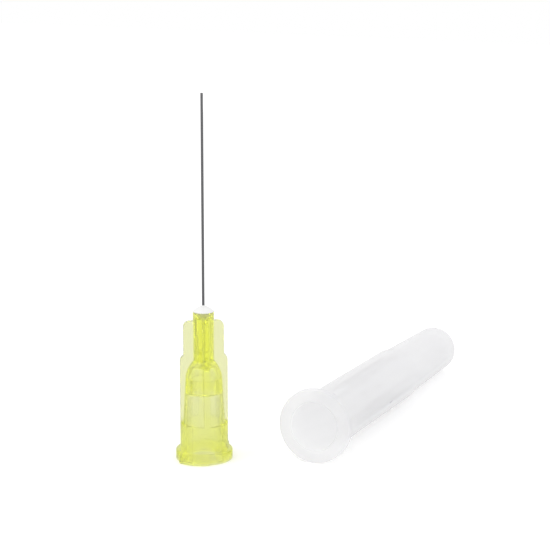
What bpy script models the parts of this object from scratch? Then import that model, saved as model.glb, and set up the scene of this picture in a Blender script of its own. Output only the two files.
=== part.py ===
"""Endodontic irrigation needle, standing on its luer hub, with its sheath lying beside it.

A thin steel cannula with a ground side notch at its tip is bonded with white adhesive into a
translucent moulded hub. The hub has a tapered luer socket, two locking lugs and four stepped fins.
The protective sheath is drawn off and rests on its flange and on its closed end.

Units are metres and +Z is up. The origin is on the floor, under the middle of the whole layout.
"""

from math import atan2, cos, pi, radians, sin, sqrt, tan

import bmesh
import bpy
from mathutils import Matrix, Vector

# Facets of the turned shapes
SEGMENTS = 64
FINE_SEGMENTS = 32
FILLET_STEPS = 3
DOME_STEPS = 7
CHAMBER_STEPS = 4
LUG_STEPS = 12
BEAD_STEPS = 6
NOTCH_STEPS = 5

# Luer socket of the hub, a 6 per cent taper on the diameter, and the narrower throat above it
SOCKET_MOUTH_RADIUS = 2.15e-3
SOCKET_TAPER = 0.06
SOCKET_DEPTH = 8.05e-3
SOCKET_LEAD_IN = 0.15e-3
THROAT_RADIUS = 1.35e-3
THROAT_TOP = 9.8e-3
THROAT_SLANT = 0.1e-3

# Flange and locking lugs at the mouth of the hub
FLANGE_RADIUS = 3.37e-3
FLANGE_HEIGHT = 1.25e-3
FLANGE_ROUNDING = 0.18e-3
LUG_CREST_RADIUS = 3.9e-3
LUG_LEAD_RADIUS = 3.66e-3
LUG_START = -87.0
LUG_SPAN = 62.0
LUG_COUNT = 2
LUG_ROUNDING = 0.12e-3
LUG_OFF_FLOOR = 0.04e-3
LUG_HEIGHT = 1.25e-3

# Collar, barrel, dome and stem of the hub
COLLAR_RADIUS = 2.84e-3
COLLAR_TOP = 4.43e-3
COLLAR_FILLET = 0.12e-3
EDGE_ROUNDING = 0.05e-3
BARREL_FOOT_RADIUS = 2.51e-3
DOME_RADIUS = 2.2e-3
DOME_FOOT = 9.6e-3
DOME_CURVE = 3.37e-3
DOME_WALL = 0.58e-3
STEM_RADIUS = 1.25e-3
STEM_TOP = 17.9e-3
CHAMBER_TOP = 11.1e-3
CHAMBER_ROOF = 0.4e-3

# Stepped fins
FIN_THICKNESS = 0.74e-3
FIN_SETBACK = 0.03e-3
FIN_STEP_HEIGHT = 12.65e-3
FIN_STEP_WIDTH = 0.42e-3
FIN_STEP_DROP = 0.7e-3
FIN_TOP = 16.8e-3
FIN_CORNER = 0.7e-3
FIN_ROOT = 0.6e-3

# Cannula
CANNULA_RADIUS = 0.155e-3
CANNULA_WALL = 0.07e-3
CANNULA_EXPOSED = 25.0e-3
CANNULA_EDGE = 0.03e-3
CANNULA_SET_IN = 0.4e-3
NOTCH_DEPTH = 0.1e-3
NOTCH_LENGTH = 1.6e-3
NOTCH_RUN_OUT = 1.1e-3
NOTCH_CLIMB = 0.11e-3
NOTCH_TURN = 35.0

# Adhesive in the well at the top of the stem
WELL_RADIUS = 0.95e-3
WELL_DEPTH = 1.0e-3
BEAD_RISE = 0.74e-3
BEAD_RIM_SHARE = 0.08
BEAD_CROWN = 0.08e-3
BEAD_COLLAR = 0.06e-3
BOND_GAP = 0.02e-3

# Sheath, measured along its axis from the mouth
SHEATH_LENGTH = 46.2e-3
SHEATH_FLANGE_RADIUS = 4.46e-3
SHEATH_FLANGE_THICKNESS = 1.0e-3
SHEATH_FLANGE_ROUNDING = 0.2e-3
SHEATH_NECK_FILLET = 0.35e-3
SHEATH_NECK_RADIUS = 3.5e-3
SHEATH_STEP_AT = 28.7e-3
SHEATH_STEP_LENGTH = 0.3e-3
SHEATH_STEP_OUTER = 3.42e-3
SHEATH_STEP_INNER = 3.25e-3
SHEATH_STEP_ROUNDING = 0.2e-3
SHEATH_END_RADIUS = 2.95e-3
SHEATH_END_ROUNDING = 0.6e-3
SHEATH_END_WALL = 1.3e-3
SHEATH_WALL = 0.6e-3
SHEATH_CLEARANCE = 0.06e-3
SHEATH_LEAD_IN = 0.05e-3
SHEATH_SEAT_AT = 11.2e-3
SHEATH_SEAT_STEP = 0.1e-3
RIB_COUNT = 8
RIB_WIDTH = 0.55e-3
RIB_HEIGHT = 0.5e-3
RIB_TURN = 3.0
RIB_SINK = 0.2e-3
RIB_ROUNDING = 0.1e-3

# Layout on the floor
HUB_TURN = 32.5
SHEATH_ASIDE = 12.89e-3
SHEATH_BEHIND = 2.91e-3

# Cutters stand out of what they cut by this much
OVERRUN = 0.5e-3
WELD = 1.0e-7


def clear_scene():
    for item in list(bpy.data.objects):
        bpy.data.objects.remove(item, do_unlink=True)
    for group in list(bpy.data.collections):
        bpy.data.collections.remove(group)


def make_collection(name):
    group = bpy.data.collections.new(name)
    bpy.context.scene.collection.children.link(group)
    return group


def make_material(name, colour, roughness, metallic=0.0, transmission=0.0):
    finish = bpy.data.materials.new(name)
    finish.use_nodes = True
    shader = finish.node_tree.nodes["Principled BSDF"]
    shader.inputs["Base Color"].default_value = (*colour, 1.0)
    shader.inputs["Roughness"].default_value = roughness
    shader.inputs["Metallic"].default_value = metallic
    shader.inputs["Transmission Weight"].default_value = transmission
    finish.diffuse_color = (*colour, 1.0)
    return finish


def make_object(name, mesh, group, seat, finish=None):
    item = bpy.data.objects.new(name, mesh)
    group.objects.link(item)
    item.parent = seat
    if finish is not None:
        mesh.materials.append(finish)
    return item


def as_cutter(item):
    item.hide_render = True
    item.display_type = "WIRE"
    return item


def rounded(corners):
    """Points of an outline given as (across, along, fillet radius) corners, sharp where it is 0."""
    points = []
    last = len(corners) - 1
    for index, (across, along, radius) in enumerate(corners):
        here = Vector((across, along))
        if radius <= 0.0 or index in (0, last):
            points.append(here)
            continue
        back = Vector(corners[index - 1][:2]) - here
        ahead = Vector(corners[index + 1][:2]) - here
        half = back.angle(ahead) / 2.0
        reach = min(radius / tan(half), 0.45 * back.length, 0.45 * ahead.length)
        centre = here + (back.normalized() + ahead.normalized()).normalized() * (reach / cos(half))
        start = here + back.normalized() * reach - centre
        turn = start.angle_signed(here + ahead.normalized() * reach - centre)
        for step in range(FILLET_STEPS + 1):
            spin = Matrix.Rotation(-turn * step / FILLET_STEPS, 2)
            points.append(centre + spin @ start)
    return points


def turned(name, points, segments, group, seat, finish=None, ring=False):
    """A profile at +X, running down its outer side, swept round the Z axis."""
    mesh = bpy.data.meshes.new(name)
    vertices = [(across, 0.0, along) for across, along in points]
    edges = [(index, index + 1) for index in range(len(points) - 1)]
    if ring:
        edges.append((len(points) - 1, 0))
    mesh.from_pydata(vertices, edges, [])
    item = make_object(name, mesh, group, seat, finish)
    sweep = item.modifiers.new("turn", "SCREW")
    sweep.axis = "Z"
    sweep.angle = 2.0 * pi
    sweep.steps = segments
    sweep.render_steps = segments
    sweep.use_merge_vertices = True
    sweep.merge_threshold = WELD
    sweep.use_smooth_shade = True
    return item


def plate(name, outline, thickness, group, seat):
    """A flat outline in XY, drawn as a filled curve and extruded to both sides of its plane."""
    curve = bpy.data.curves.new(name + "_outline", "CURVE")
    curve.dimensions = "2D"
    curve.fill_mode = "BOTH"
    curve.extrude = thickness / 2.0
    line = curve.splines.new("POLY")
    line.points.add(len(outline) - 1)
    for point, (across, along) in zip(line.points, outline):
        point.co = (across, along, 0.0, 1.0)
    line.use_cyclic_u = True
    drawn = bpy.data.objects.new(name + "_outline", curve)
    group.objects.link(drawn)
    bpy.context.view_layer.update()
    shown = drawn.evaluated_get(bpy.context.evaluated_depsgraph_get())
    mesh = bpy.data.meshes.new_from_object(shown)
    mesh.name = name
    bpy.data.objects.remove(drawn, do_unlink=True)
    shape = bmesh.new()
    shape.from_mesh(mesh)
    bmesh.ops.remove_doubles(shape, verts=shape.verts, dist=WELD)
    bmesh.ops.dissolve_limit(shape, angle_limit=radians(0.5), verts=shape.verts, edges=shape.edges)
    bmesh.ops.recalc_face_normals(shape, faces=shape.faces)
    shape.to_mesh(mesh)
    shape.free()
    mesh.materials.clear()
    return make_object(name, mesh, group, seat)


def soften(item, width):
    bevel = item.modifiers.new("edges", "BEVEL")
    bevel.width = width
    bevel.segments = 2
    bevel.limit_method = "ANGLE"
    bevel.angle_limit = radians(50.0)
    return item


def combine(item, other, operation):
    step = item.modifiers.new(operation.lower() + "_" + other.name, "BOOLEAN")
    step.operation = operation
    step.solver = "EXACT"
    step.object = other


def socket_radius(height):
    return SOCKET_MOUTH_RADIUS - SOCKET_TAPER / 2.0 * height


def dome_radius(height, wall=0.0):
    """Radius of the dome, or of the chamber one wall inside it, at a height above its foot."""
    centre = DOME_RADIUS - DOME_CURVE
    return centre + sqrt((DOME_CURVE - wall) ** 2 - (height - DOME_FOOT) ** 2)


def dome_top():
    return DOME_FOOT + sqrt(DOME_CURVE ** 2 - (STEM_RADIUS - DOME_RADIUS + DOME_CURVE) ** 2)


def dome_points(top, foot, steps, wall=0.0):
    heights = [top + (foot - top) * step / steps for step in range(steps + 1)]
    return [(dome_radius(height, wall), height, 0.0) for height in heights]


def hub_profile():
    return rounded(
        [(0.0, STEM_TOP, 0.0), (STEM_RADIUS, STEM_TOP, EDGE_ROUNDING)]
        + dome_points(dome_top(), DOME_FOOT, DOME_STEPS)
        + [
            (BARREL_FOOT_RADIUS, COLLAR_TOP, 0.0),
            (COLLAR_RADIUS, COLLAR_TOP, EDGE_ROUNDING),
            (COLLAR_RADIUS, FLANGE_HEIGHT, COLLAR_FILLET),
            (FLANGE_RADIUS, FLANGE_HEIGHT, FLANGE_ROUNDING),
            (FLANGE_RADIUS, 0.0, FLANGE_ROUNDING / 2.0),
            (0.0, 0.0, 0.0),
        ]
    )


def bore_profile():
    """Everything hollow in the hub, from the adhesive well down to the luer mouth."""
    hole = CANNULA_RADIUS + BOND_GAP
    well_slope = (WELL_RADIUS - hole) / WELL_DEPTH
    mouth = SOCKET_MOUTH_RADIUS + SOCKET_LEAD_IN
    return rounded(
        [
            (0.0, STEM_TOP + OVERRUN, 0.0),
            (WELL_RADIUS + well_slope * OVERRUN, STEM_TOP + OVERRUN, 0.0),
            (hole, STEM_TOP - WELL_DEPTH, 0.0),
            (hole, CHAMBER_TOP + CHAMBER_ROOF, 0.0),
        ]
        + dome_points(CHAMBER_TOP, THROAT_TOP, CHAMBER_STEPS, DOME_WALL)
        + [
            (THROAT_RADIUS, THROAT_TOP - THROAT_SLANT, 0.0),
            (THROAT_RADIUS, SOCKET_DEPTH, 0.0),
            (socket_radius(SOCKET_DEPTH), SOCKET_DEPTH, 0.0),
            (socket_radius(SOCKET_LEAD_IN), SOCKET_LEAD_IN, 0.0),
            (mouth + OVERRUN, -OVERRUN, 0.0),
            (0.0, -OVERRUN, 0.0),
        ]
    )


def fin_outline():
    """Both fins of one plane, with the plate between them running through the stem."""
    outer = COLLAR_RADIUS - FIN_SETBACK
    inner = outer - FIN_STEP_WIDTH
    sunk = COLLAR_TOP - FIN_ROOT
    side = [(outer, sunk)]
    for step in range(FILLET_STEPS + 2):
        angle = pi / 2.0 * step / (FILLET_STEPS + 1)
        side.append(
            (
                inner + FIN_STEP_WIDTH * cos(angle),
                FIN_STEP_HEIGHT - FIN_STEP_DROP * (1.0 - sin(angle)),
            )
        )
    for step in range(FILLET_STEPS + 2):
        angle = pi / 2.0 * step / (FILLET_STEPS + 1)
        side.append(
            (
                inner - FIN_CORNER * (1.0 - cos(angle)),
                FIN_TOP - FIN_CORNER * (1.0 - sin(angle)),
            )
        )
    return side + [(-across, along) for across, along in reversed(side)]


def lug_outline(turn):
    """One lug seen from above: its crest rises from the lead end to the far end."""
    points = []
    for step in range(LUG_STEPS + 1):
        share = step / LUG_STEPS
        angle = radians(LUG_START + turn - LUG_SPAN * share)
        radius = LUG_LEAD_RADIUS + (LUG_CREST_RADIUS - LUG_LEAD_RADIUS) * share
        points.append((radius * cos(angle), radius * sin(angle)))
    middle = (SOCKET_MOUTH_RADIUS + FLANGE_RADIUS) / 2.0
    for step in range(LUG_STEPS, -1, -1):
        angle = radians(LUG_START + turn - LUG_SPAN * step / LUG_STEPS)
        points.append((middle * cos(angle), middle * sin(angle)))
    return points


def build_hub(group, cutters, seat, finish):
    hub = turned("hub", [tuple(p) for p in hub_profile()], SEGMENTS, group, seat, finish)
    for turn in (0.0, 90.0):
        fins = plate("fins_%d" % turn, fin_outline(), FIN_THICKNESS, cutters, seat)
        fins.rotation_euler = (pi / 2.0, 0.0, radians(turn))
        combine(hub, as_cutter(fins), "UNION")
    for index in range(LUG_COUNT):
        outline = lug_outline(360.0 / LUG_COUNT * index)
        lug = plate("lug_%d" % index, outline, LUG_HEIGHT, cutters, seat)
        lug.location.z = LUG_OFF_FLOOR + LUG_HEIGHT / 2.0
        soften(lug, LUG_ROUNDING)
        combine(hub, as_cutter(lug), "UNION")
    bore = turned("bore", [tuple(p) for p in bore_profile()], SEGMENTS, cutters, seat)
    combine(hub, as_cutter(bore), "DIFFERENCE")
    return hub


def bead_apex():
    return STEM_TOP + BEAD_RISE


def cannula_tip():
    return bead_apex() + CANNULA_EXPOSED


def build_cannula(group, cutters, seat, finish):
    inner = CANNULA_RADIUS - CANNULA_WALL
    foot = CHAMBER_TOP + CHAMBER_ROOF + CANNULA_SET_IN
    profile = rounded(
        [
            (inner, foot, 0.0),
            (inner, cannula_tip(), 0.0),
            (CANNULA_RADIUS, cannula_tip(), CANNULA_EDGE),
            (CANNULA_RADIUS, foot, 0.0),
        ]
    )
    cannula = turned("cannula", [tuple(p) for p in profile], FINE_SEGMENTS, group, seat, finish, ring=True)
    flat = CANNULA_RADIUS - NOTCH_DEPTH
    floor = cannula_tip() - NOTCH_LENGTH
    outside = CANNULA_RADIUS + OVERRUN
    run = [(flat, cannula_tip() + OVERRUN)]
    for step in range(NOTCH_STEPS + 1):
        share = step / NOTCH_STEPS
        run.append((flat + NOTCH_CLIMB * share ** 2, floor - NOTCH_RUN_OUT * share))
    run += [(outside, floor - NOTCH_RUN_OUT), (outside, cannula_tip() + OVERRUN)]
    notch = plate("notch", run, 4.0 * CANNULA_RADIUS, cutters, seat)
    notch.rotation_euler = (pi / 2.0, 0.0, radians(NOTCH_TURN))
    combine(cannula, as_cutter(notch), "DIFFERENCE")
    return cannula


def build_adhesive(group, seat, finish):
    """The bead over the stem and the plug below it in the well, as one ring round the cannula."""
    inner = CANNULA_RADIUS + BOND_GAP
    seat_height = STEM_TOP + BOND_GAP
    well = WELL_RADIUS - BOND_GAP
    floor = STEM_TOP - WELL_DEPTH + 2.0 * BOND_GAP
    rim = STEM_RADIUS
    points = [(inner, floor), (inner, bead_apex()), (inner + BEAD_COLLAR, bead_apex() - BEAD_COLLAR)]
    shoulder = bead_apex() - BEAD_COLLAR - seat_height
    for step in range(1, BEAD_STEPS + 1):
        share = step / BEAD_STEPS
        across = inner + BEAD_COLLAR + (rim - inner - BEAD_COLLAR) * share
        climb = shoulder * (BEAD_RIM_SHARE + (1.0 - BEAD_RIM_SHARE) * (1.0 - share))
        points.append((across, seat_height + climb + BEAD_CROWN * sin(pi * share)))
    points += [(rim, seat_height), (well, seat_height), (inner + BOND_GAP, floor)]
    return turned("adhesive_bead", points, FINE_SEGMENTS, group, seat, finish, ring=True)


def sheath_outer():
    """Outside of the sheath, from its closed end down to its mouth, as (radius, height) corners."""
    return [
        (0.0, SHEATH_LENGTH, 0.0),
        (SHEATH_END_RADIUS, SHEATH_LENGTH, SHEATH_END_ROUNDING),
        (SHEATH_STEP_INNER, SHEATH_STEP_AT + SHEATH_STEP_LENGTH, SHEATH_STEP_ROUNDING),
        (SHEATH_STEP_OUTER, SHEATH_STEP_AT, SHEATH_STEP_ROUNDING),
        (SHEATH_NECK_RADIUS, SHEATH_FLANGE_THICKNESS, SHEATH_NECK_FILLET),
        (SHEATH_FLANGE_RADIUS, SHEATH_FLANGE_THICKNESS, SHEATH_FLANGE_ROUNDING),
        (SHEATH_FLANGE_RADIUS, 0.0, SHEATH_FLANGE_ROUNDING),
        (0.0, 0.0, 0.0),
    ]


def sheath_mouth_radius():
    return COLLAR_RADIUS + SHEATH_CLEARANCE


def sheath_bore():
    """Inside of the sheath, one wall in from its outside and stepped where the fins are stepped."""
    step = SHEATH_STEP_OUTER - SHEATH_WALL
    mouth = sheath_mouth_radius()
    shoulder = SHEATH_STEP_AT + SHEATH_STEP_LENGTH
    return [
        (0.0, SHEATH_LENGTH - SHEATH_END_WALL, 0.0),
        (SHEATH_END_RADIUS - SHEATH_WALL, SHEATH_LENGTH - SHEATH_END_WALL, SHEATH_END_ROUNDING),
        (SHEATH_STEP_INNER - SHEATH_WALL, shoulder, SHEATH_STEP_ROUNDING),
        (step, SHEATH_STEP_AT, 0.0),
        (mouth - SHEATH_SEAT_STEP, SHEATH_SEAT_AT + SHEATH_SEAT_STEP, 0.0),
        (mouth, SHEATH_SEAT_AT, 0.0),
        (mouth, SHEATH_LEAD_IN, 0.0),
        (mouth + SHEATH_LEAD_IN + OVERRUN, -OVERRUN, 0.0),
        (0.0, -OVERRUN, 0.0),
    ]


def build_ribs(cutters, seat):
    """Ribs inside the sheath that pass between the hub's fins, sunk into the wall that carries them."""
    outer = sheath_mouth_radius() - SHEATH_SEAT_STEP + RIB_SINK
    inner = outer - RIB_SINK - RIB_HEIGHT
    length = SHEATH_STEP_AT - SHEATH_SEAT_AT
    shape = bmesh.new()
    for index in range(RIB_COUNT):
        angle = radians(RIB_TURN + 360.0 / RIB_COUNT * index)
        size = Matrix.Diagonal((outer - inner, RIB_WIDTH, length, 1.0))
        place = Matrix.Translation(((outer + inner) / 2.0, 0.0, SHEATH_SEAT_AT + length / 2.0))
        bmesh.ops.create_cube(shape, size=1.0, matrix=Matrix.Rotation(angle, 4, "Z") @ place @ size)
    mesh = bpy.data.meshes.new("ribs")
    shape.to_mesh(mesh)
    shape.free()
    return soften(make_object("ribs", mesh, cutters, seat), RIB_ROUNDING)


def build_sheath(group, cutters, seat, finish):
    outline = [tuple(p) for p in rounded(sheath_outer())]
    sheath = turned("sheath", outline, SEGMENTS, group, seat, finish)
    hollow = [tuple(p) for p in rounded(sheath_bore())]
    combine(sheath, as_cutter(turned("sheath_hollow", hollow, SEGMENTS, cutters, seat)), "DIFFERENCE")
    combine(sheath, as_cutter(build_ribs(cutters, seat)), "UNION")
    return sheath


def resting_points():
    """The two points of the sheath's outline, on its flange and on its end, that touch the floor."""
    outline = rounded(sheath_outer())
    middle = SHEATH_LENGTH / 2.0
    near = [point for point in outline if point.y < middle]
    far = [point for point in outline if point.y > middle]

    def clearance(pair):
        front, back = pair
        share = (middle - front.y) / (back.y - front.y)
        return front.x + (back.x - front.x) * share

    return max(((front, back) for front in near for back in far), key=clearance)


def sheath_tilt():
    """Slope at which the sheath lies on the rear edge of its flange and on its rounded end."""
    front, back = resting_points()
    return atan2(front.x - back.x, back.y - front.y)


def sheath_lift():
    """Height of the centre of the mouth above the floor."""
    front, _ = resting_points()
    return front.x * cos(sheath_tilt()) + front.y * sin(sheath_tilt())


def layout():
    """Floor places of the hub's axis and of the sheath's mouth, with the whole layout centred."""
    tilt = sheath_tilt()
    lugs = [lug_outline(360.0 / LUG_COUNT * index) for index in range(LUG_COUNT)]
    turn = Matrix.Rotation(radians(HUB_TURN), 2)
    reach = [turn @ Vector(point) for outline in lugs for point in outline]
    left = max(FLANGE_RADIUS, max(-point.x for point in reach))
    front = max(FLANGE_RADIUS, max(-point.y for point in reach))
    right = SHEATH_ASIDE + SHEATH_FLANGE_RADIUS
    far = max(along * cos(tilt) + across * sin(tilt) for across, along in rounded(sheath_outer()))
    back = SHEATH_BEHIND + far
    hub = Vector(((left - right) / 2.0, (front - back) / 2.0, 0.0))
    return hub, hub + Vector((SHEATH_ASIDE, SHEATH_BEHIND, sheath_lift()))


def make_seat(name, place, turn, group):
    seat = bpy.data.objects.new(name, None)
    group.objects.link(seat)
    seat.location = place
    seat.rotation_euler = turn
    return seat


def main():
    clear_scene()
    group = make_collection("irrigation_needle")
    cutters = make_collection("cutters")
    tinted = make_material("tinted_hub", (0.83, 0.86, 0.16), 0.25, transmission=0.8)
    steel = make_material("ground_steel", (0.48, 0.48, 0.5), 0.35, metallic=1.0)
    epoxy = make_material("white_adhesive", (0.9, 0.9, 0.88), 0.4)
    frosted = make_material("natural_sheath", (0.86, 0.87, 0.89), 0.35, transmission=0.7)
    hub_place, mouth_place = layout()
    hub_seat = make_seat("hub_seat", hub_place, (0.0, 0.0, radians(HUB_TURN)), group)
    lie = (-pi / 2.0 - sheath_tilt(), 0.0, 0.0)
    sheath_seat = make_seat("sheath_seat", mouth_place, lie, group)
    build_hub(group, cutters, hub_seat, tinted)
    build_cannula(group, cutters, hub_seat, steel)
    build_adhesive(group, hub_seat, epoxy)
    build_sheath(group, cutters, sheath_seat, frosted)
    bpy.context.view_layer.update()


main()
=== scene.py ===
"""Looks of an endodontic irrigation needle: a fine cannula in a tinted luer hub, and its sheath.

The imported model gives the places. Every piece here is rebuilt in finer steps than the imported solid
that it stands for, from the same sizes, and is dressed with a procedural finish.
"""

import logging
from dataclasses import dataclass
from enum import Enum
from math import atan2, cos, pi, radians, sin, sqrt, tan

import bmesh
import bpy
from mathutils import Matrix, Vector


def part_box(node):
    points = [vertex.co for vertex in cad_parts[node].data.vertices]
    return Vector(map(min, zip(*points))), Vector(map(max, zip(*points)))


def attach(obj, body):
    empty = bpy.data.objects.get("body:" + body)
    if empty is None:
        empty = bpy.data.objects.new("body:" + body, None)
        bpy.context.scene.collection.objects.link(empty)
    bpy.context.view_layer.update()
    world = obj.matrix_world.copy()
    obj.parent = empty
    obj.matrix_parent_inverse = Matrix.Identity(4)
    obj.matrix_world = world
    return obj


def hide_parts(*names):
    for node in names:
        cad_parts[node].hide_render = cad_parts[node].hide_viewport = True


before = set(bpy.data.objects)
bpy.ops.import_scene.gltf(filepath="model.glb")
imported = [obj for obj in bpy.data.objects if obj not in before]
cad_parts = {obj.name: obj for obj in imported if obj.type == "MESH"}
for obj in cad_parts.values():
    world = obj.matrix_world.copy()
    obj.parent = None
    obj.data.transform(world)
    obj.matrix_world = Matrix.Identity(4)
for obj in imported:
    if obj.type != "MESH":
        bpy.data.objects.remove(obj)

LOG = logging.getLogger("irrigation_needle")
MM = 0.001
MOST_OF_EDGE = 0.45


class Operation(Enum):
    """What a second solid does to the first."""

    JOIN = "UNION"
    CUT = "DIFFERENCE"


class Tint(Enum):
    """Colours of the pieces and of the paper, as scene-linear values."""

    LEMON = (0.985, 1.0, 0.95)
    NATURAL = (0.855, 0.85, 0.87)
    # A lighter copy of the sheath's plastic for its bore and ribs: painted light that lifts the shade
    # inside the bore.
    BORE_PAINTED_LIGHT = (0.95, 0.95, 0.96)
    # Darker than bare steel: a painted reflection of dark surroundings, since the world round the needle is
    # white.
    STEEL_PAINTED_DARK = (0.16, 0.16, 0.165)
    # Pale yellow on the cannula's length inside the hub and bead: a painted reflection of the lit yellow
    # plastic round it.
    PAINTED_REFLECTION = (0.9, 0.91, 0.7)
    CHALK = (0.84, 0.84, 0.83)
    PAPER = (0.94, 0.94, 0.94)


@dataclass(frozen=True)
class Corner:
    """One corner of a turned outline, in millimetres, with the radius of its rounding."""

    across: float
    along: float
    rounding: float = 0.0


def round_off(corners: list[Corner], steps: int) -> list[Vector]:
    """Replace the corners of an outline by arcs that leave the middle of each edge straight.

    Args:
        corners: the outline, whose first and last corners stay sharp.
        steps: how many chords an arc gets.

    Returns:
        The points of the rounded outline, in metres.
    """
    points = []
    for index, corner in enumerate(corners):
        here = Vector((corner.across, corner.along)) * MM
        radius = corner.rounding * MM
        if radius <= 0.0 or index in (0, len(corners) - 1):
            points.append(here)
            continue
        before, after = corners[index - 1], corners[index + 1]
        back = Vector((before.across, before.along)) * MM - here
        ahead = Vector((after.across, after.along)) * MM - here
        half = back.angle(ahead) / 2.0
        reach = min(radius / tan(half), MOST_OF_EDGE * back.length, MOST_OF_EDGE * ahead.length)
        bisector = (back.normalized() + ahead.normalized()).normalized()
        centre = here + bisector * (reach / cos(half))
        start = here + back.normalized() * reach - centre
        turn = start.angle_signed(here + ahead.normalized() * reach - centre)
        for step in range(steps + 1):
            points.append(centre + Matrix.Rotation(-turn * step / steps, 2) @ start)
    return points


class Workshop:
    """Turns outlines and plates into finished meshes."""

    MERGE = 1.0e-7
    SHARP_EDGE = 50.0

    @staticmethod
    def lathe(outline: list[Vector], turns: int, closed: bool = False) -> bmesh.types.BMesh:
        """Spin an outline about the Z axis.

        Args:
            outline: points as (radius, height).
            turns: how many flats the full turn gets.
            closed: whether the outline is a ring that stays clear of the axis.

        Returns:
            A bmesh with its doubles merged and its faces pointing outwards.
        """
        shape = bmesh.new()
        verts = [shape.verts.new((point.x, 0.0, point.y)) for point in outline]
        edges = [shape.edges.new(pair) for pair in zip(verts, verts[1:])]
        if closed:
            edges.append(shape.edges.new((verts[-1], verts[0])))
        bmesh.ops.spin(
            shape,
            geom=verts + edges,
            cent=(0.0, 0.0, 0.0),
            axis=(0.0, 0.0, 1.0),
            dvec=(0.0, 0.0, 0.0),
            angle=2.0 * pi,
            steps=turns,
            use_merge=True,
            use_duplicate=False,
        )
        bmesh.ops.remove_doubles(shape, verts=shape.verts, dist=Workshop.MERGE)
        bmesh.ops.recalc_face_normals(shape, faces=shape.faces)
        return shape

    @staticmethod
    def plate(outline: list[Vector], thickness: float, edge: float, steps: int) -> bmesh.types.BMesh:
        """Extrude a flat outline in XY to both sides of its plane and soften its edges.

        Args:
            outline: the outline's points in metres.
            thickness: the plate's thickness in metres.
            edge: width of the softened edges in metres, or 0 for none.
            steps: segments of the softened edges.

        Returns:
            A closed bmesh.
        """
        shape = bmesh.new()
        verts = [shape.verts.new((point.x, point.y, -thickness / 2.0)) for point in outline]
        face = shape.faces.new(verts)
        lifted = bmesh.ops.extrude_face_region(shape, geom=[face])["geom"]
        top = [item for item in lifted if isinstance(item, bmesh.types.BMVert)]
        bmesh.ops.translate(shape, verts=top, vec=(0.0, 0.0, thickness))
        bmesh.ops.recalc_face_normals(shape, faces=shape.faces)
        if edge > 0.0:
            limit = radians(Workshop.SHARP_EDGE)
            sharp = [item for item in shape.edges if item.calc_face_angle(0.0) > limit]
            bmesh.ops.bevel(
                shape,
                geom=sharp,
                offset=edge,
                offset_type="OFFSET",
                affect="EDGES",
                segments=steps,
                profile=0.5,
                material=-1,
                clamp_overlap=True,
            )
        return shape

    @staticmethod
    def placed(shape: bmesh.types.BMesh, place: Matrix, name: str) -> bpy.types.Object:
        """Turn a bmesh into an object whose place is in its mesh.

        Args:
            shape: the bmesh, which is freed.
            place: where the shape goes, in the shared frame.
            name: the new object's name.

        Returns:
            The object, at the origin and linked to the scene.
        """
        bmesh.ops.transform(shape, matrix=place, verts=shape.verts)
        mesh = bpy.data.meshes.new(name)
        shape.to_mesh(mesh)
        shape.free()
        item = bpy.data.objects.new(name, mesh)
        bpy.context.scene.collection.objects.link(item)
        return item

    @staticmethod
    def combine(base: bpy.types.Object, other: bpy.types.Object, operation: Operation) -> None:
        """Join the second object to the first, or cut it out, and remove it.

        Args:
            base: the object that is changed.
            other: the object that is used up.
            operation: join or cut.
        """
        step = base.modifiers.new(other.name, "BOOLEAN")
        step.operation = operation.value
        step.solver = "EXACT"
        step.object = other
        bpy.context.view_layer.update()
        shown = base.evaluated_get(bpy.context.evaluated_depsgraph_get())
        mesh = bpy.data.meshes.new_from_object(shown)
        base.modifiers.clear()
        base.data = mesh
        bpy.data.objects.remove(other, do_unlink=True)

    @staticmethod
    def dress(item: bpy.types.Object, material: bpy.types.Material) -> None:
        """Give an object one material in place of any that it has."""
        item.data.materials.clear()
        item.data.materials.append(material)

    @staticmethod
    def smooth(item: bpy.types.Object, angle: float = 32.0) -> None:
        """Shade an object smooth, and sharp where its faces meet at more than the angle."""
        item.data.shade_smooth()
        item.data.set_sharp_from_angle(angle=radians(angle))


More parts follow.
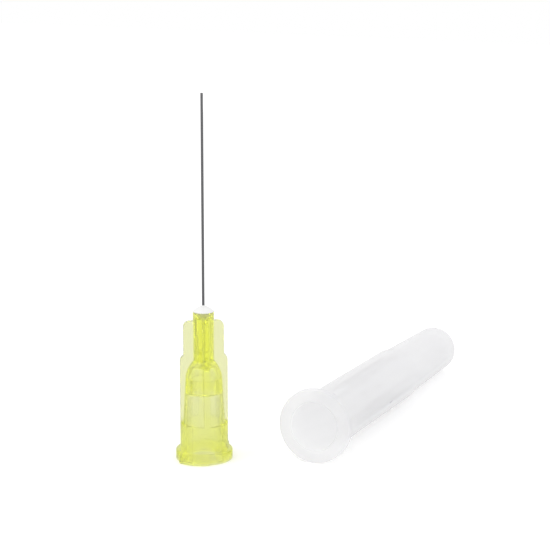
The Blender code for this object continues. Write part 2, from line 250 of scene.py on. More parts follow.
class Finish:
    """What every procedural finish shares."""

    DETAIL = 3.0
    LOW_MARK = 0.3
    HIGH_MARK = 0.7
    BUMP_STRENGTH = 0.6

    @staticmethod
    def start(name: str) -> tuple[bpy.types.Material, bpy.types.NodeTree, bpy.types.Node]:
        """Open a material with a Principled shader.

        Args:
            name: the material's name.

        Returns:
            The material, its node tree and its Principled shader.
        """
        material = bpy.data.materials.new(name)
        material.use_nodes = True
        tree = material.node_tree
        return material, tree, tree.nodes["Principled BSDF"]

    @classmethod
    def noise(
        cls, tree: bpy.types.NodeTree, scale: float, stretch: tuple[float, float, float]
    ) -> bpy.types.Node:
        """Add a noise pattern on Object coordinates.

        Args:
            tree: the material's nodes.
            scale: cells in a metre.
            stretch: how much finer the pattern is along each axis.

        Returns:
            The noise node.
        """
        place = tree.nodes.new("ShaderNodeTexCoord")
        mapping = tree.nodes.new("ShaderNodeMapping")
        mapping.inputs["Scale"].default_value = stretch
        pattern = tree.nodes.new("ShaderNodeTexNoise")
        pattern.inputs["Scale"].default_value = scale
        pattern.inputs["Detail"].default_value = cls.DETAIL
        tree.links.new(place.outputs["Object"], mapping.inputs["Vector"])
        tree.links.new(mapping.outputs["Vector"], pattern.inputs["Vector"])
        return pattern

    @classmethod
    def roughen(
        cls,
        tree: bpy.types.NodeTree,
        shader: bpy.types.Node,
        pattern: bpy.types.Node,
        roughness: float,
        change: float,
    ) -> None:
        """Let a pattern change the roughness.

        Args:
            tree: the material's nodes.
            shader: the shader that takes the roughness.
            pattern: the noise node.
            roughness: the roughness in the middle.
            change: the largest change, as a share of it.
        """
        span = tree.nodes.new("ShaderNodeMapRange")
        span.inputs["From Min"].default_value = cls.LOW_MARK
        span.inputs["From Max"].default_value = cls.HIGH_MARK
        span.inputs["To Min"].default_value = roughness * (1.0 - change)
        span.inputs["To Max"].default_value = roughness * (1.0 + change)
        tree.links.new(pattern.outputs["Fac"], span.inputs["Value"])
        tree.links.new(span.outputs["Result"], shader.inputs["Roughness"])

    @staticmethod
    def cloud(
        tree: bpy.types.NodeTree, pattern: bpy.types.Node, tint: Tint, change: float
    ) -> bpy.types.NodeSocket:
        """Let a pattern change a colour.

        Args:
            tree: the material's nodes.
            pattern: the noise node.
            tint: the colour in the middle.
            change: the largest change, as a share of it.

        Returns:
            The changed colour.
        """
        mix = tree.nodes.new("ShaderNodeMix")
        mix.data_type = "RGBA"
        mix.inputs["A"].default_value = (*[channel * (1.0 - change) for channel in tint.value], 1.0)
        mix.inputs["B"].default_value = (*[channel * (1.0 + change) for channel in tint.value], 1.0)
        tree.links.new(pattern.outputs["Fac"], mix.inputs["Factor"])
        return mix.outputs["Result"]

    @classmethod
    def grain(
        cls, tree: bpy.types.NodeTree, shader: bpy.types.Node, pattern: bpy.types.Node, depth: float
    ) -> None:
        """Raise a pattern as a bump.

        Args:
            tree: the material's nodes.
            shader: the shader that takes the bump.
            pattern: the noise node.
            depth: height of the bump in metres.
        """
        bump = tree.nodes.new("ShaderNodeBump")
        bump.inputs["Strength"].default_value = cls.BUMP_STRENGTH
        bump.inputs["Distance"].default_value = depth
        tree.links.new(pattern.outputs["Fac"], bump.inputs["Height"])
        tree.links.new(bump.outputs["Normal"], shader.inputs["Normal"])


@dataclass(frozen=True)
class MouldedResin(Finish):
    """A translucent moulded plastic that deepens with its thickness."""

    name: str
    tint: Tint
    roughness: float
    clearness: float
    solidity: float
    depth_colour: tuple[float, float, float]
    depth_density: float
    refraction: float = 1.49
    flow_scale: float = 900.0
    flow_stretch: tuple[float, float, float] = (1.0, 1.0, 0.35)
    unevenness: float = 0.15
    grain_depth: float = 2.0e-6

    def make(self) -> bpy.types.Material:
        """Build the material.

        Returns:
            The finished material.
        """
        material, tree, shader = self.start(self.name)
        shader.inputs["Base Color"].default_value = (*self.tint.value, 1.0)
        shader.inputs["Transmission Weight"].default_value = self.clearness
        shader.inputs["IOR"].default_value = self.refraction
        shader.inputs["Alpha"].default_value = self.solidity
        flow = self.noise(tree, self.flow_scale, self.flow_stretch)
        self.roughen(tree, shader, flow, self.roughness, self.unevenness)
        self.grain(tree, shader, flow, self.grain_depth)
        depth = tree.nodes.new("ShaderNodeVolumeAbsorption")
        depth.inputs["Color"].default_value = (*self.depth_colour, 1.0)
        depth.inputs["Density"].default_value = self.depth_density
        tree.links.new(depth.outputs["Volume"], tree.nodes["Material Output"].inputs["Volume"])
        return material


@dataclass(frozen=True)
class MilkyResin(Finish):
    """A natural, uncoloured plastic whose surface is slightly frosted and lets light through."""

    name: str
    tint: Tint
    roughness: float
    solidity: float
    gloss: float = 0.2
    flow_scale: float = 700.0
    flow_stretch: tuple[float, float, float] = (1.0, 0.2, 1.0)
    cloudiness: float = 0.02
    unevenness: float = 0.15
    grain_depth: float = 2.0e-6

    def make(self) -> bpy.types.Material:
        """Build the material.

        Returns:
            The finished material.
        """
        material, tree, shader = self.start(self.name)
        shader.inputs["Alpha"].default_value = self.solidity
        shader.inputs["Specular IOR Level"].default_value = self.gloss
        flow = self.noise(tree, self.flow_scale, self.flow_stretch)
        tree.links.new(self.cloud(tree, flow, self.tint, self.cloudiness), shader.inputs["Base Color"])
        self.roughen(tree, shader, flow, self.roughness, self.unevenness)
        self.grain(tree, shader, flow, self.grain_depth)
        return material


@dataclass(frozen=True)
class DrawnSteel(Finish):
    """Drawn steel tube with fine lines along it; its dark tint is a painted reflection of dark
    surroundings, and the pale yellow on its sunk length is a painted reflection of the lit hub round it.
    """

    name: str
    tint: Tint
    roughness: float
    # The colour of the sunk length, a painted reflection of the lit hub, and the height up to which it is
    # painted.
    painted_reflection: Tint
    painted_reflection_top: float
    line_scale: float = 16000.0
    line_stretch: tuple[float, float, float] = (1.0, 1.0, 0.03)
    line_contrast: float = 0.18
    unevenness: float = 0.2

    def make(self) -> bpy.types.Material:
        """Build the material.

        Returns:
            The finished material.
        """
        material, tree, shader = self.start(self.name)
        lines = self.noise(tree, self.line_scale, self.line_stretch)
        self.roughen(tree, shader, lines, self.roughness, self.unevenness)
        # Above the given height the tube is bare metal; below it the colour is a pale painted reflection of
        # the lit hub round the sunk length, and not metallic.
        bare = self.above(tree, self.painted_reflection_top)
        tree.links.new(bare, shader.inputs["Metallic"])
        painted_reflection_mix = tree.nodes.new("ShaderNodeMix")
        painted_reflection_mix.data_type = "RGBA"
        painted_reflection_mix.inputs["A"].default_value = (*self.painted_reflection.value, 1.0)
        tree.links.new(self.cloud(tree, lines, self.tint, self.line_contrast), painted_reflection_mix.inputs["B"])
        tree.links.new(bare, painted_reflection_mix.inputs["Factor"])
        tree.links.new(painted_reflection_mix.outputs["Result"], shader.inputs["Base Color"])
        return material

    @staticmethod
    def above(tree: bpy.types.NodeTree, height: float) -> bpy.types.NodeSocket:
        """Tell what stands above a height from what stands below it.

        Args:
            tree: the material's nodes.
            height: the height in metres.

        Returns:
            An output that is 1 above the height and 0 below it.
        """
        place = tree.nodes.new("ShaderNodeTexCoord")
        parts = tree.nodes.new("ShaderNodeSeparateXYZ")
        test = tree.nodes.new("ShaderNodeMath")
        test.operation = "GREATER_THAN"
        test.inputs[1].default_value = height
        tree.links.new(place.outputs["Object"], parts.inputs["Vector"])
        tree.links.new(parts.outputs["Z"], test.inputs[0])
        return test.outputs["Value"]


@dataclass(frozen=True)
class CuredAdhesive(Finish):
    """White cured adhesive, slightly uneven."""

    name: str
    tint: Tint
    roughness: float
    ripple_scale: float = 1800.0
    ripple_stretch: tuple[float, float, float] = (1.0, 1.0, 1.0)
    unevenness: float = 0.2
    grain_depth: float = 1.0e-5

    def make(self) -> bpy.types.Material:
        """Build the material.

        Returns:
            The finished material.
        """
        material, tree, shader = self.start(self.name)
        shader.inputs["Base Color"].default_value = (*self.tint.value, 1.0)
        ripple = self.noise(tree, self.ripple_scale, self.ripple_stretch)
        self.roughen(tree, shader, ripple, self.roughness, self.unevenness)
        self.grain(tree, shader, ripple, self.grain_depth)
        return material


class Rays:
    """Node groups that tell kinds of rays apart, for the floor and the world."""

    @staticmethod
    def seen(tree: bpy.types.NodeTree) -> tuple[bpy.types.NodeSocket, bpy.types.NodeSocket]:
        """Tell the rays that show the backdrop from the rays that light things.

        Args:
            tree: the nodes of the floor or the world.

        Returns:
            An output that is 1 for camera rays, and one that is 1 for glossy and transmission rays.
        """
        path = tree.nodes.new("ShaderNodeLightPath")
        bent = tree.nodes.new("ShaderNodeMath")
        bent.operation = "MAXIMUM"
        tree.links.new(path.outputs["Is Glossy Ray"], bent.inputs[0])
        tree.links.new(path.outputs["Is Transmission Ray"], bent.inputs[1])
        return path.outputs["Is Camera Ray"], bent.outputs["Value"]

    @staticmethod
    def veiled(tree: bpy.types.NodeTree, straight: bpy.types.NodeSocket) -> bpy.types.NodeSocket:
        """Tell the camera rays that come straight through a translucent piece.

        Args:
            tree: the nodes of the floor.
            straight: 1 for camera rays.

        Returns:
            An output that is 1 for those rays.
        """
        path = tree.nodes.new("ShaderNodeLightPath")
        veiled = tree.nodes.new("ShaderNodeMath")
        veiled.operation = "MINIMUM"
        tree.links.new(path.outputs["Transparent Depth"], veiled.inputs[0])
        tree.links.new(straight, veiled.inputs[1])
        return veiled.outputs["Value"]

    @staticmethod
    def weigh(
        tree: bpy.types.NodeTree, terms: list[tuple[bpy.types.NodeSocket, float]], base: float = 0.0
    ) -> bpy.types.NodeSocket:
        """Add weighted values to a base value.

        Args:
            tree: the nodes of the floor or the world.
            terms: each value with its weight.
            base: what is there in any case.

        Returns:
            The sum.
        """
        total = None
        for value, weight in terms:
            step = tree.nodes.new("ShaderNodeMath")
            step.operation = "MULTIPLY_ADD"
            step.inputs[1].default_value = weight
            step.inputs[2].default_value = base
            tree.links.new(value, step.inputs[0])
            if total is not None:
                tree.links.new(total, step.inputs[2])
            total = step.outputs["Value"]
        return total


@dataclass(frozen=True)
class StudioPaper(Finish):
    """White paper under the object, which looks white wherever no shadow falls on it.

    Camera rays (seen), camera rays through a piece (veiled) and glossy or transmitted rays (bent)
    each get their own share of the lit paper and their own glow.
    """

    name: str
    tint: Tint
    seen_share: float = 0.86
    seen_glow: float = 0.29
    veiled_share: float = 0.12
    veiled_glow: float = 0.9
    bent_share: float = 0.46
    bent_glow: float = 0.365

    def make(self) -> bpy.types.Material:
        """Build the material.

        Returns:
            The finished material.
        """
        material, tree, shader = self.start(self.name)
        shader.inputs["Roughness"].default_value = 1.0
        shader.inputs["Specular IOR Level"].default_value = 0.0
        straight, bent = Rays.seen(tree)
        veiled = Rays.veiled(tree, straight)
        through = self.share(tree, bent, self.bent_share)
        through.inputs["A"].default_value = (*self.tint.value, 1.0)
        direct = self.share(tree, straight, self.seen_share)
        behind = self.share(tree, veiled, self.veiled_share)
        tree.links.new(through.outputs["Result"], direct.inputs["A"])
        tree.links.new(direct.outputs["Result"], behind.inputs["A"])
        tree.links.new(behind.outputs["Result"], shader.inputs["Base Color"])
        extra = self.veiled_glow - self.seen_glow
        glow = Rays.weigh(tree, [(straight, self.seen_glow), (bent, self.bent_glow), (veiled, extra)])
        lift = tree.nodes.new("ShaderNodeEmission")
        tree.links.new(glow, lift.inputs["Strength"])
        both = tree.nodes.new("ShaderNodeAddShader")
        tree.links.new(shader.outputs["BSDF"], both.inputs[0])
        tree.links.new(lift.outputs["Emission"], both.inputs[1])
        tree.links.new(both.outputs["Shader"], tree.nodes["Material Output"].inputs["Surface"])
        return material

    def share(self, tree: bpy.types.NodeTree, rays: bpy.types.NodeSocket, amount: float) -> bpy.types.Node:
        """Mix in a part of the paper's colour for one kind of ray.

        Args:
            tree: the material's nodes.
            rays: 1 where the mix applies.
            amount: the part of the colour that those rays see.

        Returns:
            The mix, whose A is left for the colour that other rays see.
        """
        mix = tree.nodes.new("ShaderNodeMix")
        mix.data_type = "RGBA"
        mix.inputs["B"].default_value = (*[channel * amount for channel in self.tint.value], 1.0)
        tree.links.new(rays, mix.inputs["Factor"])
        return mix


@dataclass
class Places:
    """Where the needle stands and the sheath lies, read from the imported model.

    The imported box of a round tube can't say how the hub is turned, so hub_turn gives it in degrees.
    """

    hub_turn: float = 32.5

    def needle(self) -> Matrix:
        """Give the place of the hub's foot, turned as its lugs and fins are.

        Returns:
            The matrix that takes the hub's axis to its place.
        """
        low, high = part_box("cannula")
        centre = Vector(((low[0] + high[0]) / 2.0, (low[1] + high[1]) / 2.0, 0.0))
        return Matrix.Translation(centre) @ Matrix.Rotation(radians(self.hub_turn), 4, "Z")

    def sheath(self, outline: list[Vector]) -> Matrix:
        """Give the place of the sheath's mouth, with the sheath lying on the floor.

        Args:
            outline: the sheath's outside as (radius, distance from the mouth) points.

        Returns:
            The matrix that takes the sheath's axis from +Z to its lie.
        """
        low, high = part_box("sheath")
        middle = outline[0].y / 2.0
        near = [point for point in outline if point.y < middle]
        far = [point for point in outline if point.y > middle]

        def clearance(pair: tuple[Vector, Vector]) -> float:
            """Give the height of a chord above the axis at mid length."""
            share = (middle - pair[0].y) / (pair[1].y - pair[0].y)
            return pair[0].x + (pair[1].x - pair[0].x) * share

        front, back = max(((one, two) for one in near for two in far), key=clearance)
        tilt = atan2(front.x - back.x, back.y - front.y)
        lift = front.x * cos(tilt) + front.y * sin(tilt)
        reach = max(point.y * cos(tilt) + point.x * sin(tilt) for point in outline)
        mouth = Vector(((low[0] + high[0]) / 2.0, high[1] - reach, lift))
        return Matrix.Translation(mouth) @ Matrix.Rotation(-pi / 2.0 - tilt, 4, "X")


@dataclass
class Hub:
    """The moulded luer hub, with its sizes in millimetres and its angles in degrees."""

    finish: MouldedResin
    place: Matrix
    turns: int = 128
    socket_mouth: float = 2.15
    socket_taper: float = 0.06
    socket_depth: float = 8.05
    lead_in: float = 0.15
    throat_radius: float = 1.35
    throat_top: float = 9.8
    throat_slant: float = 0.1
    throat_rounding: float = 0.1
    socket_rounding: float = 0.08
    flange_radius: float = 3.37
    flange_height: float = 1.25
    flange_rounding: float = 0.18
    lug_crest: float = 3.9
    lug_lead: float = 3.66
    lug_start: float = -87.0
    lug_span: float = 62.0
    lug_rounding: float = 0.12
    lug_off_floor: float = 0.04
    collar_radius: float = 2.84
    collar_top: float = 4.43
    collar_fillet: float = 0.12
    collar_rounding: float = 0.08
    barrel_foot: float = 2.51
    barrel_fillet: float = 0.06
    dome_radius: float = 2.2
    dome_foot: float = 9.6
    dome_curve: float = 3.37
    dome_wall: float = 0.58
    stem_radius: float = 1.25
    stem_top: float = 17.9
    stem_rounding: float = 0.05
    chamber_top: float = 11.1
    chamber_rounding: float = 0.3
    chamber_roof: float = 0.4
    bore: float = 0.15
    well_radius: float = 0.95
    well_depth: float = 1.0
    fin_thickness: float = 0.74
    fin_setback: float = 0.03
    fin_step_height: float = 12.65
    fin_step_width: float = 0.42
    fin_step_drop: float = 0.7
    fin_top: float = 16.8
    fin_corner: float = 0.7
    fin_root: float = 0.6
    fin_rounding: float = 0.06
    overrun: float = 0.5
    rounding_steps: int = 5
    dome_steps: int = 14
    roof_steps: int = 3
    lug_steps: int = 24
    lug_edge_steps: int = 4
    fin_corner_steps: int = 8
    fin_edge_steps: int = 3

    def dome_at(self, height: float, wall: float = 0.0) -> float:
        """Give the dome's radius, or that of the chamber one wall inside it, at a height."""
        rise = height - self.dome_foot
        return self.dome_radius - self.dome_curve + sqrt((self.dome_curve - wall) ** 2 - rise ** 2)

    def dome_top(self) -> float:
        """Give the height at which the dome meets the stem."""
        inset = self.stem_radius - self.dome_radius + self.dome_curve
        return self.dome_foot + sqrt(self.dome_curve ** 2 - inset ** 2)

    def dome_arc(self, top: float, foot: float, steps: int, wall: float = 0.0) -> list[Corner]:
        """Give points down the dome.

        Args:
            top: the first height.
            foot: the last height.
            steps: how many chords the arc gets.
            wall: how far inside the dome the arc runs.

        Returns:
            The points, from the top down.
        """
        heights = [top + (foot - top) * step / steps for step in range(steps + 1)]
        return [Corner(self.dome_at(height, wall), height) for height in heights]

    def outside(self) -> list[Vector]:
        """Give the outline of the turned body, from the stem's top down to the flange's foot.

        Returns:
            The outline in metres.
        """
        head = [Corner(0.0, self.stem_top), Corner(self.stem_radius, self.stem_top, self.stem_rounding)]
        foot = [
            Corner(self.barrel_foot, self.collar_top, self.barrel_fillet),
            Corner(self.collar_radius, self.collar_top, self.collar_rounding),
            Corner(self.collar_radius, self.flange_height, self.collar_fillet),
            Corner(self.flange_radius, self.flange_height, self.flange_rounding),
            Corner(self.flange_radius, 0.0, self.flange_rounding / 2.0),
            Corner(0.0, 0.0),
        ]
        arc = self.dome_arc(self.dome_top(), self.dome_foot, self.dome_steps)
        return round_off(head + arc + foot, self.rounding_steps)

    def hollow(self) -> list[Vector]:
        """Give the outline of all that is hollow, from the adhesive well down to the luer mouth.

        Returns:
            The outline in metres.
        """
        slope = (self.well_radius - self.bore) / self.well_depth
        taper = self.socket_taper / 2.0
        head = [
            Corner(0.0, self.stem_top + self.overrun),
            Corner(self.well_radius + slope * self.overrun, self.stem_top + self.overrun),
            Corner(self.bore, self.stem_top - self.well_depth),
            Corner(self.bore, self.chamber_top + self.chamber_roof),
        ]
        foot = [
            Corner(self.throat_radius, self.throat_top - self.throat_slant),
            Corner(self.throat_radius, self.socket_depth, self.throat_rounding),
            Corner(self.socket_mouth - taper * self.socket_depth, self.socket_depth, self.socket_rounding),
            Corner(self.socket_mouth - taper * self.lead_in, self.lead_in),
            Corner(self.socket_mouth + self.lead_in + self.overrun, -self.overrun),
            Corner(0.0, -self.overrun),
        ]
        arc = self.dome_arc(self.chamber_top, self.throat_top, self.roof_steps, self.dome_wall)
        arc[0] = Corner(arc[0].across, arc[0].along, self.chamber_rounding)
        return round_off(head + arc + foot, self.rounding_steps)

    def fin_outline(self) -> list[Vector]:
        """Give the outline of the fins of one plane, with the web through the stem.

        Returns:
            The outline in metres.
        """
        outer = self.collar_radius - self.fin_setback
        inner = outer - self.fin_step_width
        quarter = [pi / 2.0 * step / self.fin_corner_steps for step in range(self.fin_corner_steps + 1)]
        side = [(outer, self.collar_top - self.fin_root)]
        for angle in quarter:
            across = inner + self.fin_step_width * cos(angle)
            side.append((across, self.fin_step_height - self.fin_step_drop * (1.0 - sin(angle))))
        for angle in quarter:
            across = inner - self.fin_corner * (1.0 - cos(angle))
            side.append((across, self.fin_top - self.fin_corner * (1.0 - sin(angle))))
        mirrored = [(-across, along) for across, along in reversed(side)]
        return [Vector(point) * MM for point in side + mirrored]

    def lug_outline(self, turn: float) -> list[Vector]:
        """Give one lug's outline, seen from above.

        Args:
            turn: angle of the lug from the first, in degrees.

        Returns:
            The outline in metres.
        """
        shares = [step / self.lug_steps for step in range(self.lug_steps + 1)]
        root = (self.socket_mouth + self.flange_radius) / 2.0
        crest = [(share, self.lug_lead + (self.lug_crest - self.lug_lead) * share) for share in shares]
        outline = []
        for share, radius in crest + [(share, root) for share in reversed(shares)]:
            angle = radians(self.lug_start + turn - self.lug_span * share)
            outline.append(Vector((radius * cos(angle), radius * sin(angle))) * MM)
        return outline

    def build(self) -> bpy.types.Object:
        """Model and dress the hub.

        Returns:
            The finished object.
        """
        hub = Workshop.placed(Workshop.lathe(self.outside(), self.turns), self.place, "hub_body")
        thickness, softness = self.fin_thickness * MM, self.fin_rounding * MM
        for turn in (0.0, 90.0):
            fins = Workshop.plate(self.fin_outline(), thickness, softness, self.fin_edge_steps)
            stand = self.place @ Matrix.Rotation(radians(turn), 4, "Z") @ Matrix.Rotation(pi / 2.0, 4, "X")
            Workshop.combine(hub, Workshop.placed(fins, stand, "fins"), Operation.JOIN)
        thickness, softness = self.flange_height * MM, self.lug_rounding * MM
        for turn in (0.0, 180.0):
            lug = Workshop.plate(self.lug_outline(turn), thickness, softness, self.lug_edge_steps)
            height = (self.lug_off_floor + self.flange_height / 2.0) * MM
            stand = self.place @ Matrix.Translation((0.0, 0.0, height))
            Workshop.combine(hub, Workshop.placed(lug, stand, "lug"), Operation.JOIN)
        hollow = Workshop.lathe(self.hollow(), self.turns)
        Workshop.combine(hub, Workshop.placed(hollow, self.place, "hollow"), Operation.CUT)
        Workshop.smooth(hub)
        Workshop.dress(hub, self.finish.make())
        return hub


@dataclass
class Cannula:
    """The steel tube with its ground side notch, with its sizes in millimetres.

    The notch's floor rises in its run-out by notch_exit times its depth, so it ends past the wall.
    """

    finish: DrawnSteel
    place: Matrix
    turns: int = 64
    radius: float = 0.155
    wall: float = 0.07
    foot: float = 11.9
    tip: float = 43.64
    edge: float = 0.03
    notch_depth: float = 0.1
    notch_length: float = 1.6
    notch_run_out: float = 1.1
    notch_exit: float = 1.1
    notch_width: float = 0.8
    notch_overrun: float = 0.5
    notch_turn: float = 35.0
    edge_steps: int = 4
    notch_steps: int = 12

    def tube(self) -> bmesh.types.BMesh:
        """Turn the tube, with the outer edge of its tip rounded.

        Returns:
            The tube, upright over the hub's foot.
        """
        inner = self.radius - self.wall
        corners = [
            Corner(inner, self.foot),
            Corner(inner, self.tip),
            Corner(self.radius, self.tip, self.edge),
            Corner(self.radius, self.foot),
        ]
        return Workshop.lathe(round_off(corners, self.edge_steps), self.turns, closed=True)

    def notch(self) -> bmesh.types.BMesh:
        """Shape the block that takes the notch away, straight beside the tip and then curving out.

        Returns:
            The block, with its outline in the XY plane.
        """
        flat = self.radius - self.notch_depth
        floor = self.tip - self.notch_length
        top = self.tip + self.notch_overrun
        outline = [Vector((flat, top))]
        for step in range(self.notch_steps + 1):
            share = step / self.notch_steps
            across = flat + self.notch_depth * self.notch_exit * share ** 2
            outline.append(Vector((across, floor - self.notch_run_out * share)))
        outline += [Vector((self.notch_width, floor - self.notch_run_out)), Vector((self.notch_width, top))]
        return Workshop.plate([point * MM for point in outline], self.notch_width * MM, edge=0.0, steps=1)

    def build(self) -> bpy.types.Object:
        """Model and dress the cannula.

        Returns:
            The finished object.
        """
        cannula = Workshop.placed(self.tube(), self.place, "cannula_tube")
        turn = Matrix.Rotation(radians(self.notch_turn), 4, "Z") @ Matrix.Rotation(pi / 2.0, 4, "X")
        Workshop.combine(cannula, Workshop.placed(self.notch(), self.place @ turn, "notch"), Operation.CUT)
        Workshop.smooth(cannula)
        Workshop.dress(cannula, self.finish.make())
        return cannula


@dataclass
class AdhesiveBead:
    """The adhesive in the well and over the stem, with its sizes in millimetres.

    The part rim_share of the cone's height is left as a step at its rim.
    """

    finish: CuredAdhesive
    place: Matrix
    turns: int = 96
    inner: float = 0.15
    overlap: float = 0.01
    stem_top: float = 17.9
    rim: float = 1.25
    well_radius: float = 0.95
    well_depth: float = 1.0
    rise: float = 0.74
    crown: float = 0.08
    collar: float = 0.06
    rim_share: float = 0.08
    cone_steps: int = 16
    smooth_angle: float = 50.0

    def outline(self) -> list[Vector]:
        """Give the outline, up along the tube from the well's floor and down the cone to its rim.

        Returns:
            The closed outline in metres.
        """
        seat = self.stem_top - self.overlap
        apex = self.stem_top + self.rise
        floor = self.stem_top - self.well_depth
        shoulder = apex - self.collar - seat
        start = self.inner + self.collar
        corners = [Corner(self.inner, floor), Corner(self.inner, apex), Corner(start, apex - self.collar)]
        for step in range(1, self.cone_steps + 1):
            share = step / self.cone_steps
            drop = shoulder * ((1.0 - share) * (1.0 - self.rim_share) + self.rim_share)
            height = seat + drop + self.crown * sin(pi * share)
            corners.append(Corner(start + (self.rim - start) * share, height))
        corners += [
            Corner(self.rim, seat),
            Corner(self.well_radius + self.overlap, seat),
            Corner(self.inner + self.overlap, floor),
        ]
        return round_off(corners, steps=1)

    def build(self) -> bpy.types.Object:
        """Model and dress the adhesive.

        Returns:
            The finished object.
        """
        shape = Workshop.lathe(self.outline(), self.turns, closed=True)
        bead = Workshop.placed(shape, self.place, "adhesive_cone")
        Workshop.smooth(bead, self.smooth_angle)
        Workshop.dress(bead, self.finish.make())
        return bead


@dataclass
class Sheath:
    """The protective sheath, with its sizes in millimetres from the mouth.

    Its lie is worked out in packed_steps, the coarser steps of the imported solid.
    """

    skin: MilkyResin
    # The second finish, lighter and clearer than the skin, goes on the bore and ribs: painted light that
    # lifts the shade inside the bore.
    inside: MilkyResin
    turns: int = 160
    length: float = 46.2
    flange_radius: float = 4.46
    flange_thickness: float = 1.0
    flange_rounding: float = 0.2
    neck_fillet: float = 0.35
    neck_radius: float = 3.5
    step_at: float = 28.7
    step_length: float = 0.3
    step_outer: float = 3.42
    step_inner: float = 3.25
    step_rounding: float = 0.2
    end_radius: float = 2.95
    end_rounding: float = 0.6
    end_wall: float = 1.3
    wall: float = 0.6
    mouth_radius: float = 2.9
    mouth_rounding: float = 0.05
    lead_in: float = 0.05
    seat_at: float = 11.2
    seat_step: float = 0.1
    rib_count: int = 8
    rib_width: float = 0.55
    rib_height: float = 0.5
    rib_turn: float = 3.0
    rib_sink: float = 0.2
    rib_rounding: float = 0.1
    rib_clear: float = 0.15
    overrun: float = 0.5
    rib_edge_steps: int = 3
    packed_steps: int = 3
    fine_steps: int = 6

    def outside(self, steps: int) -> list[Vector]:
        """Give the outside's outline, from the closed end down to the mouth.

        Args:
            steps: how many chords each rounding gets.

        Returns:
            The outline in metres.
        """
        return round_off(
            [
                Corner(0.0, self.length),
                Corner(self.end_radius, self.length, self.end_rounding),
                Corner(self.step_inner, self.step_at + self.step_length, self.step_rounding),
                Corner(self.step_outer, self.step_at, self.step_rounding),
                Corner(self.neck_radius, self.flange_thickness, self.neck_fillet),
                Corner(self.flange_radius, self.flange_thickness, self.flange_rounding),
                Corner(self.flange_radius, 0.0, self.flange_rounding),
                Corner(0.0, 0.0),
            ],
            steps,
        )

    def hollow(self) -> list[Vector]:
        """Give the bore's outline, from its closed end down to the mouth.

        Returns:
            The outline in metres.
        """
        floor = self.length - self.end_wall
        inside = self.step_inner - self.wall
        seated = self.mouth_radius - self.seat_step
        return round_off(
            [
                Corner(0.0, floor),
                Corner(self.end_radius - self.wall, floor, self.end_rounding),
                Corner(inside, self.step_at + self.step_length, self.step_rounding),
                Corner(self.step_outer - self.wall, self.step_at),
                Corner(seated, self.seat_at + self.seat_step),
                Corner(self.mouth_radius, self.seat_at),
                Corner(self.mouth_radius, self.lead_in, self.mouth_rounding),
                Corner(self.mouth_radius + self.lead_in + self.overrun, -self.overrun),
                Corner(0.0, -self.overrun),
            ],
            self.fine_steps,
        )

    def ribs(self, place: Matrix) -> bpy.types.Object:
        """Model the ribs inside, sunk into the wall that carries them.

        Args:
            place: the sheath's lie.

        Returns:
            One object that holds every rib.
        """
        outer = self.mouth_radius - self.seat_step + self.rib_sink
        inner = outer - self.rib_sink - self.rib_height
        length = self.step_at - self.seat_at - 2.0 * self.rib_clear
        size = Matrix.Diagonal(((outer - inner) * MM, self.rib_width * MM, length * MM, 1.0))
        middle = Vector(((outer + inner) / 2.0, 0.0, (self.seat_at + self.step_at) / 2.0)) * MM
        shape = bmesh.new()
        for index in range(self.rib_count):
            turn = Matrix.Rotation(radians(self.rib_turn + 360.0 / self.rib_count * index), 4, "Z")
            bmesh.ops.create_cube(shape, size=1.0, matrix=turn @ Matrix.Translation(middle) @ size)
        bmesh.ops.bevel(
            shape,
            geom=list(shape.edges),
            offset=self.rib_rounding * MM,
            offset_type="OFFSET",
            affect="EDGES",
            segments=self.rib_edge_steps,
            profile=0.5,
            material=-1,
        )
        return Workshop.placed(shape, place, "ribs")

    def build(self, places: Places) -> bpy.types.Object:
        """Model and dress the sheath.

        Args:
            places: gives the sheath's lie.

        Returns:
            The finished object.
        """
        place = places.sheath(self.outside(self.packed_steps))
        shape = Workshop.lathe(self.outside(self.fine_steps), self.turns)
        sheath = Workshop.placed(shape, place, "sheath_tube")
        hollow = Workshop.placed(Workshop.lathe(self.hollow(), self.turns), place, "sheath_hollow")
        ribs = self.ribs(place)
        # The bore and ribs take the lighter second material: painted light in the bore's shade.
        materials = [self.skin.make(), self.inside.make()]
        for item, slot in ((sheath, 0), (hollow, 1), (ribs, 1)):
            item.data.materials.clear()
            for material in materials:
                item.data.materials.append(material)
            for face in item.data.polygons:
                face.material_index = slot
        Workshop.combine(sheath, hollow, Operation.CUT)
        Workshop.combine(sheath, ribs, Operation.JOIN)
        Workshop.smooth(sheath)
        return sheath


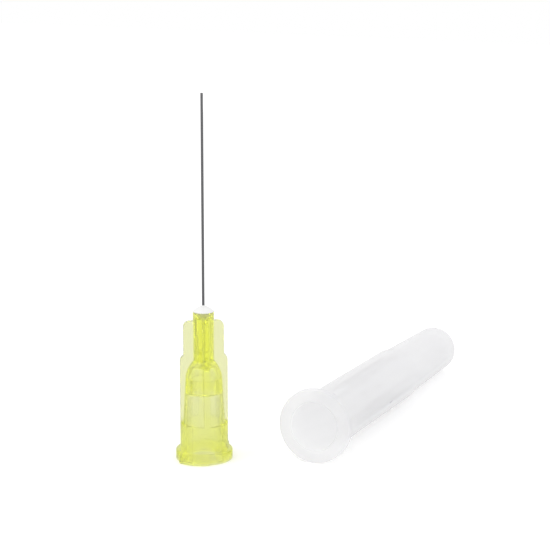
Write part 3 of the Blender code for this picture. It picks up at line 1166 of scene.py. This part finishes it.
@dataclass
class Studio:
    """Floor, world, lamps and camera of the photograph.

    The camera's place is in millimetres and its turn in degrees. The floor's side and the nearest
    distance that the camera shows are in metres.
    """

    needle: Vector
    floor_side: float = 0.9
    world_level: float = 0.95
    backdrop_level: float = 1.0
    lens: float = 130.9
    sensor: float = 36.0
    camera_place: tuple[float, float, float] = (94.88, -207.77, 72.88)
    camera_turn: tuple[float, float, float] = (77.596, -0.012, 22.436)
    nearest: float = 0.01

    def floor(self, finish: StudioPaper) -> None:
        """Lay the white paper.

        Args:
            finish: the paper's finish.
        """
        shape = bmesh.new()
        bmesh.ops.create_grid(shape, x_segments=1, y_segments=1, size=self.floor_side / 2.0)
        paper = Workshop.placed(shape, Matrix.Identity(4), "studio_paper")
        Workshop.dress(paper, finish.make())

    def world(self) -> None:
        """Fill the surroundings with even light, and show them white."""
        world = bpy.data.worlds.new("studio_white")
        world.use_nodes = True
        tree = world.node_tree
        background = tree.nodes["Background"]
        background.inputs["Color"].default_value = (1.0, 1.0, 1.0, 1.0)
        straight, bent = Rays.seen(tree)
        base = self.world_level
        level = Rays.weigh(tree, [(straight, 1.0 - base), (bent, self.backdrop_level - base)], base)
        tree.links.new(level, background.inputs["Strength"])
        bpy.context.scene.world = world

    def lamp(self, name: str, place: tuple[float, float, float], side: float, watts: float) -> None:
        """Hang a square soft lamp that looks at the hub.

        Args:
            name: the lamp's name.
            place: where it hangs from the foot of the hub, in metres.
            side: its side in metres.
            watts: its power.
        """
        light = bpy.data.lights.new(name, "AREA")
        light.shape = "SQUARE"
        light.size = side
        light.energy = watts
        item = bpy.data.objects.new(name, light)
        item.location = self.needle + Vector(place)
        item.rotation_euler = (-Vector(place)).to_track_quat("-Z", "Y").to_euler()
        bpy.context.scene.collection.objects.link(item)

    def camera(self) -> None:
        """Set the camera at the photograph's angle."""
        data = bpy.data.cameras.new("photograph")
        data.sensor_width = self.sensor
        data.lens = self.lens
        data.clip_start = self.nearest
        item = bpy.data.objects.new("photograph", data)
        item.location = self.needle + Vector(self.camera_place) * MM
        item.rotation_euler = [radians(turn) for turn in self.camera_turn]
        bpy.context.scene.collection.objects.link(item)
        bpy.context.scene.camera = item

    def build(self) -> None:
        """Set up everything round the object."""
        self.world()
        self.floor(StudioPaper("studio_paper", Tint.PAPER))
        self.lamp("soft_key", place=(-0.25, -0.2, 0.45), side=0.3, watts=0.5)
        self.lamp("soft_fill", place=(0.35, -0.25, 0.3), side=0.3, watts=0.2)
        self.camera()
        bpy.context.scene.view_settings.view_transform = "Standard"


def stand_for(piece: bpy.types.Object, node: str) -> None:
    """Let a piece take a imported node's place.

    Args:
        piece: the finished piece.
        node: the node that it replaces.
    """
    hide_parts(node)
    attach(piece, "root")
    LOG.info("%s stands for %s with %d faces", piece.name, node, len(piece.data.polygons))


def main() -> None:
    """Build every piece, dress it and set the studio."""
    logging.basicConfig(level=logging.INFO, format="%(message)s")
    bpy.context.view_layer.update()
    places = Places()
    stand = places.needle()
    Studio(needle=stand.translation.copy()).build()

    lemon = MouldedResin(
        "tinted_hub",
        Tint.LEMON,
        roughness=0.08,
        clearness=0.92,
        solidity=0.7,
        depth_colour=(0.982, 0.999, 0.0),
        depth_density=700.0,
    )
    natural = MilkyResin("natural_sheath", Tint.NATURAL, roughness=0.32, solidity=0.43)
    # The bore and ribs get this lighter, clearer copy of the sheath's plastic: painted light that lifts the
    # shade inside the bore.
    cloud = MilkyResin("natural_sheath_bore_painted_light", Tint.BORE_PAINTED_LIGHT, roughness=0.32, solidity=0.17)
    # The steel's dark tint and the pale colour of its sunk length are painted reflections.
    steel = DrawnSteel("ground_steel", Tint.STEEL_PAINTED_DARK, roughness=0.32, painted_reflection=Tint.PAINTED_REFLECTION, painted_reflection_top=0.0186)
    chalk = CuredAdhesive("white_adhesive", Tint.CHALK, roughness=0.4)

    stand_for(Hub(finish=lemon, place=stand).build(), "hub")
    stand_for(Cannula(finish=steel, place=stand).build(), "cannula")
    stand_for(AdhesiveBead(finish=chalk, place=stand).build(), "adhesive_bead")
    stand_for(Sheath(skin=natural, inside=cloud).build(places), "sheath")


if __name__ == "__main__":
    main()
